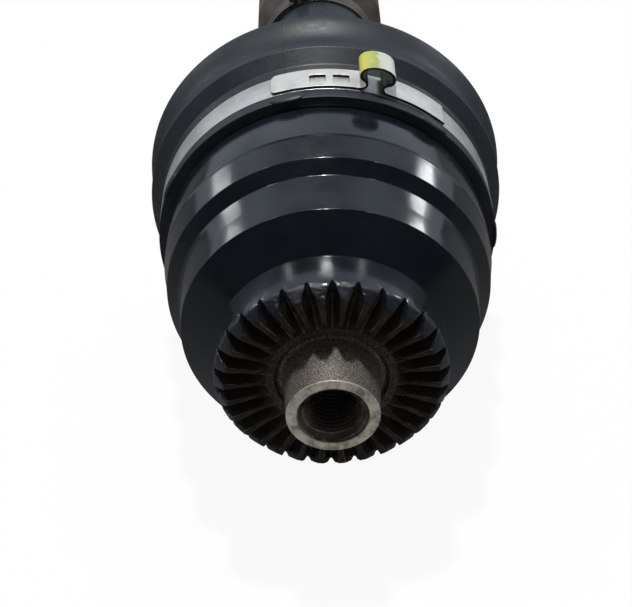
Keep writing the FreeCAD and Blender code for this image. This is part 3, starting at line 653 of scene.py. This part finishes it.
def tooth_row(r, crest_y):
    """A ring of points over the face teeth at a radius."""
    half = [(math.degrees(offset / r), y) for offset, y in tooth_samples(r, crest_y)]
    row = []
    for middle in gap_middles():
        row += [point(y, r, middle + angle) for angle, y in half[:-1]]
        row += [point(y, r, middle + 360 / TOOTH_COUNT - angle) for angle, y in half[:0:-1]]
    return row


def row_azimuths():
    """The azimuths of the points in a toothed ring at the outer end of the crests."""
    samples = tooth_samples(CREST_OUTER_R, CREST_OUTER_Y)
    half = [math.degrees(offset / CREST_OUTER_R) for offset, _ in samples]
    azimuths = []
    for middle in gap_middles():
        azimuths += [middle + angle for angle in half[:-1]]
        azimuths += [middle + 360 / TOOTH_COUNT - angle for angle in half[:0:-1]]
    return azimuths


ROW_AZIMUTHS = row_azimuths()


def plain_row(y, r):
    """A ring of points with the same spacing as the toothed rings."""
    return [point(y, r, azimuth) for azimuth in ROW_AZIMUTHS]


def track_reach(y, azimuth, plain_r):
    """Radius of the cavity's wall where a ball track may deepen it."""
    half = TRACK_SPACING / 2
    offset = math.radians((azimuth + half) % TRACK_SPACING - half)
    along = y - JOINT_Y
    radius = plain_r

    def inside(r):
        out, side = r * math.cos(offset), r * math.sin(offset)
        angle = math.degrees(math.atan2(along, out))
        if TRACK_LOW <= angle <= TRACK_HIGH:
            return (math.hypot(out, along) - PITCH_R) ** 2 + side ** 2 < TRACK_R ** 2
        end = math.radians(TRACK_LOW if angle < TRACK_LOW else TRACK_HIGH)
        gap = (out - PITCH_R * math.cos(end), along - PITCH_R * math.sin(end), side)
        return angle < TRACK_LOW and sum(g * g for g in gap) < TRACK_R ** 2

    for k in range(TRACK_STEPS):
        r = plain_r + (PITCH_R + TRACK_R - plain_r) * (k + 1) / TRACK_STEPS
        if inside(r):
            radius = r
    return radius


def cavity_rows():
    """Rings of the joint's hollow from the mouth to its bottom."""
    rows = []
    mouth_r, end_y = CAVITY_MOUTH_R, high("outer_joint_housing")[1]
    throat_r = math.sqrt(CAVITY_R ** 2 - CAVITY_THROAT ** 2)
    places = [(end_y - 0.3, mouth_r), (JOINT_Y + CAVITY_THROAT + mouth_r - throat_r, mouth_r)]
    places += [(JOINT_Y + CAVITY_THROAT + 0.5 * (mouth_r - throat_r), 0.5 * (mouth_r + throat_r))]
    for k in range(CAVITY_STEPS + 1):
        along = CAVITY_THROAT - (CAVITY_THROAT + CAVITY_BOTTOM) * k / CAVITY_STEPS
        places.append((JOINT_Y + along, math.sqrt(CAVITY_R ** 2 - along ** 2)))
    for y, r in places:
        rows.append([point(y, track_reach(y, azimuth, r), azimuth) for azimuth in ROW_AZIMUTHS])
    bottom_y = JOINT_Y - CAVITY_BOTTOM
    rows.append(plain_row(bottom_y, CAVITY_FLOOR_R))
    rows.append(plain_row(bottom_y, 0.0))
    return rows


def housing_regions():
    """The housing's outside as (material, rings) from the drilled hole to the mouth."""
    bore_r = THREAD_R + 0.12
    bore = [(THREAD_END_Y + DRILL_TIP, 0.0), (THREAD_END_Y + 0.6, bore_r), (2.0, bore_r),
            (0.25, THREAD_MOUTH_R + 0.1)]
    ring_face = rounded([(0.25, THREAD_MOUTH_R + 0.1), (0.0, THREAD_MOUTH_R + 0.35, 0.1), (0.0, 12.0, 0.25),
                         SPIGOT_OUTLINE[0]])
    crest_line = rounded([RECESS_OUTLINE[-1], (LAND_Y, LAND_R, 0.5), (CREST_INNER_Y, CREST_INNER_R, 0.7),
                          (CREST_OUTER_Y, CREST_OUTER_R, 1.2), (COLLAR_FRONT_Y, COLLAR_R - 0.1, 1.9),
                          (COLLAR_FRONT_Y + 1.2, COLLAR_R)])
    crests = []
    for (y0, r0), (y1, r1) in zip(crest_line, crest_line[1:]):
        steps = max(1, round((r1 - r0) / CREST_STEP))
        crests += [(y0 + (y1 - y0) * k / steps, r0 + (r1 - r0) * k / steps) for k in range(steps)]
    crests.append(crest_line[-1])
    teeth = [tooth_row(r, y) for y, r in crests if r < RIM_START_R]
    rim = [tooth_row(r, y) for y, r in crests if r >= RIM_START_R]
    painted = [*COLLAR_OUTLINE, *rounded(BELL_OUTLINE)[1:]]
    return [
        ("thread", [plain_row(y, r) for y, r in bore]),
        ("machined", [plain_row(y, r) for y, r in ring_face]),
        ("cast", [plain_row(y, r) for y, r in rounded(SPIGOT_OUTLINE)]),
        # The recess under the teeth takes the darkened skin copy: painted shade.
        ("shaded_recess", [plain_row(y, r) for y, r in rounded(RECESS_OUTLINE)]),
        ("teeth", teeth),
        ("rim", rim),
        ("paint", [plain_row(y, r) for y, r in painted]),
        ("race", cavity_rows()),
    ]


def add_hub_housing():
    """Bell-shaped housing with its ring of face teeth, as one closed mesh."""
    used = ["thread", "machined", "cast", "shaded_recess", "teeth", "rim", "paint", "race", "rubbed_and_highlit"]
    rows, row_names = [], []
    for name, region in housing_regions():
        row_names += [name] * len(region)
        rows += region

    def slot_of(i, j):
        column = min(j % SAMPLES_PER_TOOTH, SAMPLES_PER_TOOTH - 1 - j % SAMPLES_PER_TOOTH)
        name = row_names[i + 1]
        return used.index("rubbed_and_highlit" if name == "teeth" and column in BRIGHT_COLUMNS else name)

    obj = rows_mesh("outer_housing", rows, [materials[name] for name in used], slot_of)
    merge(obj)
    smooth_by_angle(obj, 42)
    place(obj, "hub_end", "housing", "outer_joint_housing")


def add_hub_thread():
    """The bolt thread in the spigot, as a helical profile on a thin sleeve."""
    segments, step = 96, 0.125
    count = round((THREAD_END_Y - THREAD_START_Y) / step)
    depth = THREAD_R - THREAD_INNER_R
    rows = []
    for i in range(count + 1):
        y = THREAD_START_Y + i * step
        chamfer_r = THREAD_MOUTH_R - (y - THREAD_START_Y)
        row = []
        for j in range(segments):
            turn = (y / THREAD_PITCH - j / segments) % 1.0
            rise = min(1.0, max(0.0, THREAD_TOP - abs(turn - 0.5) * THREAD_FLANK))
            row.append(point(y, max(THREAD_R - depth * rise, chamfer_r), 360 * j / segments))
        rows.append(row)
    outer_r = THREAD_R + 0.06
    for y, r in ((THREAD_END_Y, outer_r), (1.9, outer_r), (THREAD_START_Y, THREAD_MOUTH_R + 0.05)):
        rows.append([point(y, r, 360 * j / segments) for j in range(segments)])
    rows.append(rows[0])

    # The middle of each thread crest takes the bright material, a painted highlight in the dark hole.
    def slot_of(i, j):
        turn = ((THREAD_START_Y + i * step) / THREAD_PITCH - j / segments) % 1.0
        return 1 if i < count and abs(turn - 0.5) < THREAD_BRIGHT else 0

    obj = rows_mesh("hub_thread", rows, [materials["thread"], materials["rubbed_and_highlit"]], slot_of)
    merge(obj)
    smooth_by_angle(obj, 50)
    place(obj, "hub_end", "housing")


# Boots: outside corners (y, r), from the lip to the cuff
LIP_START, LIP_R, BAND_SEAT_R = 75.9, 50.6, 49.9
BAND_START, BAND_END = 79.85, 90.45
LIP_BORE_R, LIP_BORE_END = 47.4, 95.0
BOOT_WALL, BOOT_SEGMENTS = 2.0, 240
NUB_AZIMUTHS = (100.0, 50.4, 153.5, 205.0, 256.5, 308.0, 359.5)
# Half along, half across and height
NUB_SIZE = (5.4, 2.6, 0.95)
NUB_Y, NUB_SINK = 77.4, 0.25
CUFF_R, CUFF_BORE_R, CUFF_START = 19.5, 16.35, 196.4
WALL_START, CREASE = 95.5, (98.0, 54.7)
OUTER_FOLDS = (
    (99.2, 54.5), (105.0, 53.5), (114.5, 56.0), (125.3, 37.4), (134.1, 46.2), (145.2, 29.6),
    (153.9, 36.8), (165.0, 22.6), (173.8, 27.4), (185.0, 19.9), (CUFF_START, CUFF_R),
)
# The inner boot's groove for its band, its cuff, and its folds below the lip
INNER_GROOVE, INNER_CUFF_START = (466.1, 476.9), 365.6
INNER_FOLDS = (
    (445.8, 36.8), (436.1, 46.8), (423.9, 31.8), (414.2, 39.0), (402.0, 23.6), (392.3, 31.0), (380.1, 19.9),
    (INNER_CUFF_START, CUFF_R),
)
# Places where the boots' strips meet, from the lip to the cuff
OUTER_CUTS = (105.0, 119.0, 142.0, 165.0)
INNER_CUTS = (460.0, 430.0, 418.0, 380.1)


def pleat_path(corners, steps=14):
    """A wavy outline that is level at each corner (y, r), so that neighbouring strips meet smoothly."""
    path = []
    for (y0, r0), (y1, r1) in zip(corners, corners[1:]):
        for k in range(steps):
            t = (1 - math.cos(math.pi * k / steps)) / 2
            path.append((y0 + (y1 - y0) * t, r0 + (r1 - r0) * t * t * (3 - 2 * t)))
    return path + [corners[-1]]


def outer_boot_outline():
    lip = rounded([(LIP_START, LIP_R - 0.8), (LIP_START, LIP_R, 0.7), (BAND_START - 0.1, LIP_R, 0.25),
                   (BAND_START, BAND_SEAT_R, 0.1), (BAND_END, BAND_SEAT_R, 0.1),
                   (BAND_END + 0.2, LIP_R + 0.1, 0.3), (93.6, 51.2, 1.5), (*CREASE, 0.7), OUTER_FOLDS[0]])
    cuff_end = high("outer_boot")[1]
    cuff = rounded([(CUFF_START, CUFF_R), (cuff_end - 0.4, CUFF_R, 0.4), (cuff_end, CUFF_R - 1.0)])
    return lip[:-1] + pleat_path(OUTER_FOLDS)[:-1] + cuff


def nearest_rows(outline, wanted):
    """The outline's own places along Y that lie nearest to the wanted ones."""
    return tuple(min((y for y, _ in outline), key=lambda y: abs(y - place_y)) for place_y in wanted)


def add_boot(name, outside, inside, cuts, pairs, rigid_bodies, nodes):
    """A boot as a rigid lip on one body, middle strips that are attached to no body, and a rigid cuff on
    another body.
    """
    azimuths = [360 * j / BOOT_SEGMENTS for j in range(BOOT_SEGMENTS)]
    for index, (start, end) in enumerate(zip(cuts, cuts[1:])):
        low_y, high_y = min(start, end) - 1e-6, max(start, end) + 1e-6
        over = [(y, r) for y, r in outside if low_y <= y <= high_y]
        under = [(y, r) for y, r in inside if low_y <= y <= high_y]
        rows = [[point(y, r, a) for a in azimuths] for y, r in over + under]
        rows.append(rows[0])
        obj = rows_mesh(f"{name}_{index}", rows, [materials["rubber"]])
        merge(obj)
        smooth_by_angle(obj, 50)
        bends = 0 < index <= len(pairs)
        place(obj, None if bends else rigid_bodies[0 if index == 0 else 1], "boot_rubber", nodes)
        if bends:
            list(pairs[index - 1])
            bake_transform(obj)


def add_outer_boot():
    """The outer boot, from its lip on the housing to its cuff on the shaft."""
    outside = outer_boot_outline()
    cuff_end = high("outer_boot")[1]
    inside = [(y, max(r - BOOT_WALL, CUFF_BORE_R)) for y, r in outside if WALL_START < y < cuff_end]
    lip_bore = [(LIP_BORE_END, LIP_BORE_R), (LIP_START, LIP_BORE_R)]
    inside = [(cuff_end, CUFF_BORE_R)] + inside[::-1] + lip_bore
    cuts = (LIP_START - 1.0,) + nearest_rows(outside, OUTER_CUTS) + (cuff_end + 1.0,)
    pairs = (("hub_end", "left_ball"), ("left_ball", "right_ball"), ("right_ball", "shaft"))
    add_boot("outer_boot", outside, inside, cuts, pairs, ("hub_end", "shaft"), "outer_boot")


def add_lip_nubs():
    """Low domes on the boot's lip that reach over the clamp's front edge."""
    half_along, half_across, height = NUB_SIZE
    rings, segments = 7, 32
    vertices, faces = [], []
    for middle in NUB_AZIMUTHS:
        first = len(vertices)
        vertices.append(point(NUB_Y, LIP_R + height - NUB_SINK, middle))
        for i in range(1, rings + 1):
            t = i / rings
            rise = height * math.sqrt(max(0.0, 1 - t ** 3)) - NUB_SINK
            for j in range(segments):
                angle = 2 * math.pi * j / segments
                azimuth = middle + math.degrees(half_along * t * math.cos(angle) / LIP_R)
                vertices.append(point(NUB_Y + half_across * t * math.sin(angle), LIP_R + rise, azimuth))
        last = first + 1 + (rings - 1) * segments
        for j in range(segments):
            k = (j + 1) % segments
            faces.append((first, first + 1 + j, first + 1 + k))
            for i in range(rings - 1):
                a, b = first + 1 + i * segments, first + 1 + (i + 1) * segments
                faces.append((a + j, b + j, b + k, a + k))
        faces.append(tuple(last + j for j in range(segments)))
    obj = add_mesh("boot_nubs", vertices, faces, [materials["rubber"]])
    merge(obj)
    place(obj, "hub_end", "boot_rubber")


# Clamps
BAND_THICKNESS = 0.75
# From a band's inner side to the middle of the strap that lies on it
LAYER_RISE = 1.55 * BAND_THICKNESS
CUT_EDGE = 0.14
COLUMN_SHARES = (0.0, 0.08, 0.18, 0.5, 0.82, 0.92, 1.0)
OUTER_SMALL_BAND, INNER_SMALL_BAND, INNER_LARGE_BAND = (201.5, 209.5), (354.2, 362.2), (466.5, 476.5)


def band_ring(name, start, end, inner_r, body, node, finish="band"):
    """The closed band of a clamp, with rounded edges."""
    outer_r = inner_r + BAND_THICKNESS
    outline = rounded([(start, inner_r + 0.3), (start, outer_r, 0.2), (end, outer_r, 0.2),
                       (end, inner_r, 0.1), (start, inner_r, 0.1), (start, inner_r + 0.3)])
    obj = lathe(name, outline[:-1], materials[finish])
    place(obj, body, "clamp_steel", node)


def strap(name, path, start, width, windows, round_end, body, finish="strap"):
    """A bent strap along a path of (radius, azimuth).

    A window in it is (path start, path end, y low, y high).
    """
    lengths = [0.0]
    for (r0, a0), (r1, a1) in zip(path, path[1:]):
        lengths.append(lengths[-1] + (point(0, r1, a1) - point(0, r0, a0)).length / MM)
    window_edges = {(edge - start) / width for window in windows for edge in window[2:]}
    columns = sorted(window_edges.union(COLUMN_SHARES))
    vertices, faces = [], []
    for (r, azimuth), along in zip(path, lengths):
        shrink = 0.0
        if round_end and along < round_end:
            shrink = round_end - math.sqrt(round_end ** 2 - (round_end - along) ** 2)
        for column in columns:
            offset = (column - 0.5) * width
            limit = width / 2 - shrink
            vertices.append(point(start + width / 2 + max(-limit, min(limit, offset)), r, azimuth))
    across = len(columns)
    for i in range(len(path) - 1):
        middle = (lengths[i] + lengths[i + 1]) / 2
        for j in range(across - 1):
            y = start + width * (columns[j] + columns[j + 1]) / 2
            if any(w[0] < middle < w[1] and w[2] < y < w[3] for w in windows):
                continue
            a, b = i * across + j, (i + 1) * across + j
            faces.append((a, a + 1, b + 1, b))
    obj = add_mesh(name, vertices, faces, [materials[finish], materials["strap_shade"]])
    merge(obj, 1e-6)
    if sum(face.normal.dot(Vector((face.center.x, 0, face.center.z))) for face in obj.data.polygons) < 0:
        obj.data.flip_normals()
    solid = obj.modifiers.new("thickness", "SOLIDIFY")
    solid.thickness = BAND_THICKNESS * MM
    solid.offset = 0.0
    # The inner side and the rims take the dark second material, painted shade.
    solid.material_offset = 1
    solid.material_offset_rim = 1
    edges = obj.modifiers.new("edges", "BEVEL")
    edges.width = CUT_EDGE * MM
    edges.segments = 2
    edges.limit_method = "ANGLE"
    edges.angle_limit = math.radians(50)
    place(obj, body, "clamp_steel")


LOOP_SHAPE = (
    # sideways and upwards, as shares of the loop's half width
    (-1.12, 0.0), (-0.78, 0.02), (-0.56, 0.13), (-0.48, 0.32), (-0.62, 0.50), (-0.87, 0.66), (-0.98, 0.92),
    (-0.86, 1.20), (-0.50, 1.39), (0.0, 1.45), (0.50, 1.39), (0.86, 1.20), (0.98, 0.92), (0.87, 0.66),
    (0.62, 0.50), (0.48, 0.32), (0.56, 0.13), (0.78, 0.02), (1.12, 0.0),
)


def loop_path(layer_r, middle, half_width):
    """A path (radius, azimuth) over a pinched loop that stands on the band."""
    points = []
    for side, up in smooth_path(LOOP_SHAPE, 5):
        across = side * half_width
        fall = layer_r - math.sqrt(layer_r ** 2 - across ** 2)
        out = layer_r + up * half_width - fall
        points.append((math.hypot(out, across), middle - math.degrees(math.atan2(across, out))))
    return points


def arc_path(radius, start, end, step=1.2):
    count = max(2, math.ceil(abs(end - start) / step))
    return [(radius, start + (end - start) * k / count) for k in range(count + 1)]


LARGE_BAND_R = 50.0
EAR_AZIMUTH, EAR_HALF_WIDTH, SMALL_EAR_HALF_WIDTH = 72.2, 4.95, 2.5
# Azimuths where the large clamps' straps start and end
TAIL_START, INNER_TAIL_START, TAIL_END = 105.3, 106.0, 46.0
WINDOW_AZIMUTHS = ((92.6, 87.7), (85.0, 79.9))
WINDOW_LOW, WINDOW_HIGH = 82.9, 86.8


def window_spans(path_start, radius, azimuths):
    """Places along a path that starts at an azimuth, for windows between pairs of azimuths."""
    return [tuple(math.radians(path_start - a) * radius for a in pair) for pair in azimuths]


def add_outer_clamps():
    """The outer boot's large clamp, with two windows in its strap, and its small one."""
    band_ring("outer_large_band", BAND_START + 0.1, BAND_END - 0.1, LARGE_BAND_R, "hub_end",
              "outer_boot_large_clamp")
    layer_r = LARGE_BAND_R + LAYER_RISE
    feet = loop_path(layer_r, EAR_AZIMUTH, EAR_HALF_WIDTH)
    windows = [(a, b, WINDOW_LOW, WINDOW_HIGH) for a, b in
               window_spans(TAIL_START, layer_r, WINDOW_AZIMUTHS)]
    path = arc_path(layer_r, TAIL_START, feet[0][1], 0.4) + feet + arc_path(layer_r, feet[-1][1], TAIL_END)
    strap("outer_large_tail", path, BAND_START + 0.4, BAND_END - BAND_START - 0.6, windows, 2.0, "hub_end")
    small_clamp("outer_small", *OUTER_SMALL_BAND, 110.0, "outer_boot_small_clamp")


def small_clamp(name, start, end, azimuth, node):
    """A clamp on a boot's cuff, with a narrow loop at an azimuth."""
    inner_r = CUFF_R + 0.02
    # The small clamp's band and strap take the darker steel, partly painted shade.
    band_ring(name + "_band", start, end, inner_r, "shaft", node, "dull_band_and_shade")
    layer_r = inner_r + LAYER_RISE
    feet = loop_path(layer_r, azimuth, SMALL_EAR_HALF_WIDTH)
    path = arc_path(layer_r, azimuth + 60, feet[0][1], 3) + feet
    path += arc_path(layer_r, feet[-1][1], azimuth - 30, 3)
    strap(name + "_tail", path, start + 0.2, end - start - 0.4, [], 1.8, "shaft", "dull_band_and_shade")


def add_inner_boot():
    """The inner boot, from its lip on the adapter ring to its cuff on the shaft."""
    mouth_y, lip_end = low("inner_boot_adapter")[1], high("inner_boot_adapter")[1]
    large_r = high("inner_boot")[0]
    lip_r, seat_r = large_r - 1.1, large_r - 1.9
    bore_r = high("inner_boot_adapter")[0] + 0.25
    cuff_end = low("inner_boot")[1]
    groove_start, groove_end = INNER_GROOVE
    folds = [(461.0, lip_r), (455.0, large_r), *INNER_FOLDS]
    outside = rounded([(lip_end, bore_r + 1.0), (lip_end, lip_r, 0.8), (groove_end, lip_r, 0.3),
                       (groove_end, seat_r, 0.1), (groove_start, seat_r, 0.1), (groove_start, lip_r, 0.3),
                       folds[0]])[:-1]
    outside += pleat_path(folds)[:-1]
    outside += rounded([folds[-1], (cuff_end + 0.4, CUFF_R, 0.4), (cuff_end, CUFF_R - 1.0)])
    below_mouth = [(y, r) for y, r in outside if y < mouth_y - 0.5]
    inside = [(y, max(r - BOOT_WALL, CUFF_BORE_R)) for y, r in below_mouth if y > cuff_end]
    inside = [(cuff_end, CUFF_BORE_R)] + inside[::-1] + [(mouth_y - 0.3, bore_r), (lip_end, bore_r)]
    cuts = (lip_end + 1,) + nearest_rows(below_mouth, INNER_CUTS) + (cuff_end - 1,)
    pairs = (("gearbox_end", "inner_boot"), ("inner_boot", "top_needles"), ("top_needles", "shaft"))
    add_boot("inner_boot", outside, inside, cuts, pairs, ("gearbox_end", "shaft"), "inner_boot")


def add_inner_clamps():
    """The large and the small clamp of the inner boot."""
    start, end = INNER_LARGE_BAND
    inner_r = high("inner_boot")[0] - 1.8
    band_ring("inner_large_band", start, end, inner_r, "gearbox_end", "inner_boot_large_clamp")
    layer_r = inner_r + LAYER_RISE
    feet = loop_path(layer_r, EAR_AZIMUTH, EAR_HALF_WIDTH - 1.0)
    path = arc_path(layer_r, INNER_TAIL_START, feet[0][1], 1.0) + feet
    path += arc_path(layer_r, feet[-1][1], TAIL_END)
    strap("inner_large_tail", path, start + 0.2, end - start - 0.4, [], 2.4, "gearbox_end")
    small_clamp("inner_small", *INNER_SMALL_BAND, 112.0, "inner_boot_small_clamp")


# Shaft
TUBE_WALL = 3.6


def add_shaft():
    """The painted tube between the forged ends."""
    tube_start, tube_end = low("shaft_tube")[1], high("shaft_tube")[1]
    tube_r = high("shaft_tube")[0]
    tube = rounded([(tube_start + 0.2, tube_r - TUBE_WALL), (tube_start + 0.2, tube_r - 0.3, 0.1),
                    (tube_start + 0.7, tube_r, 0.3), (tube_end - 0.7, tube_r, 0.3),
                    (tube_end - 0.2, tube_r - 0.3, 0.1), (tube_end - 0.2, tube_r - TUBE_WALL)])
    obj = lathe("tube", tube, materials["shaft"])
    smooth_by_angle(obj, 40)
    place(obj, "shaft", "shaft_paint", "shaft_tube")


# Materials of the CAD nodes whose shape is right
NODE_MATERIALS = {
    "steel": ("outer_inner_race", "tripod_spider"),
    "shaft": ("outer_shaft_end", "inner_shaft_end"),
    "dark_steel": ("outer_ball_cage",),
    "polished": ("outer_cage_balls", "outer_ball_right", "outer_ball_left", "needles_top",
                 "needles_lower_left", "needles_lower_right", "roller_top", "roller_lower_left",
                 "roller_lower_right"),
    "pressed": ("outer_race_clip", "spider_clip", "trunnion_washers", "trunnion_snap_rings", "stub_clip",
                "stub_dust_shield"),
    "matte_rubber": ("inner_boot_adapter",),
    "paint": ("inner_joint_housing",),
}


def dress_nodes():
    for key, names in NODE_MATERIALS.items():
        for name in names:
            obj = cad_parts[name]
            for slot in obj.material_slots:
                slot.material = materials[key]


materials = make_materials()
add_camera()
add_floor()
add_world()
add_lamps()
add_hub_housing()
add_hub_thread()
add_outer_boot()
add_lip_nubs()
add_outer_clamps()
add_inner_boot()
add_inner_clamps()
add_shaft()
dress_nodes()

bpy.context.scene.view_settings.view_transform = "Standard"
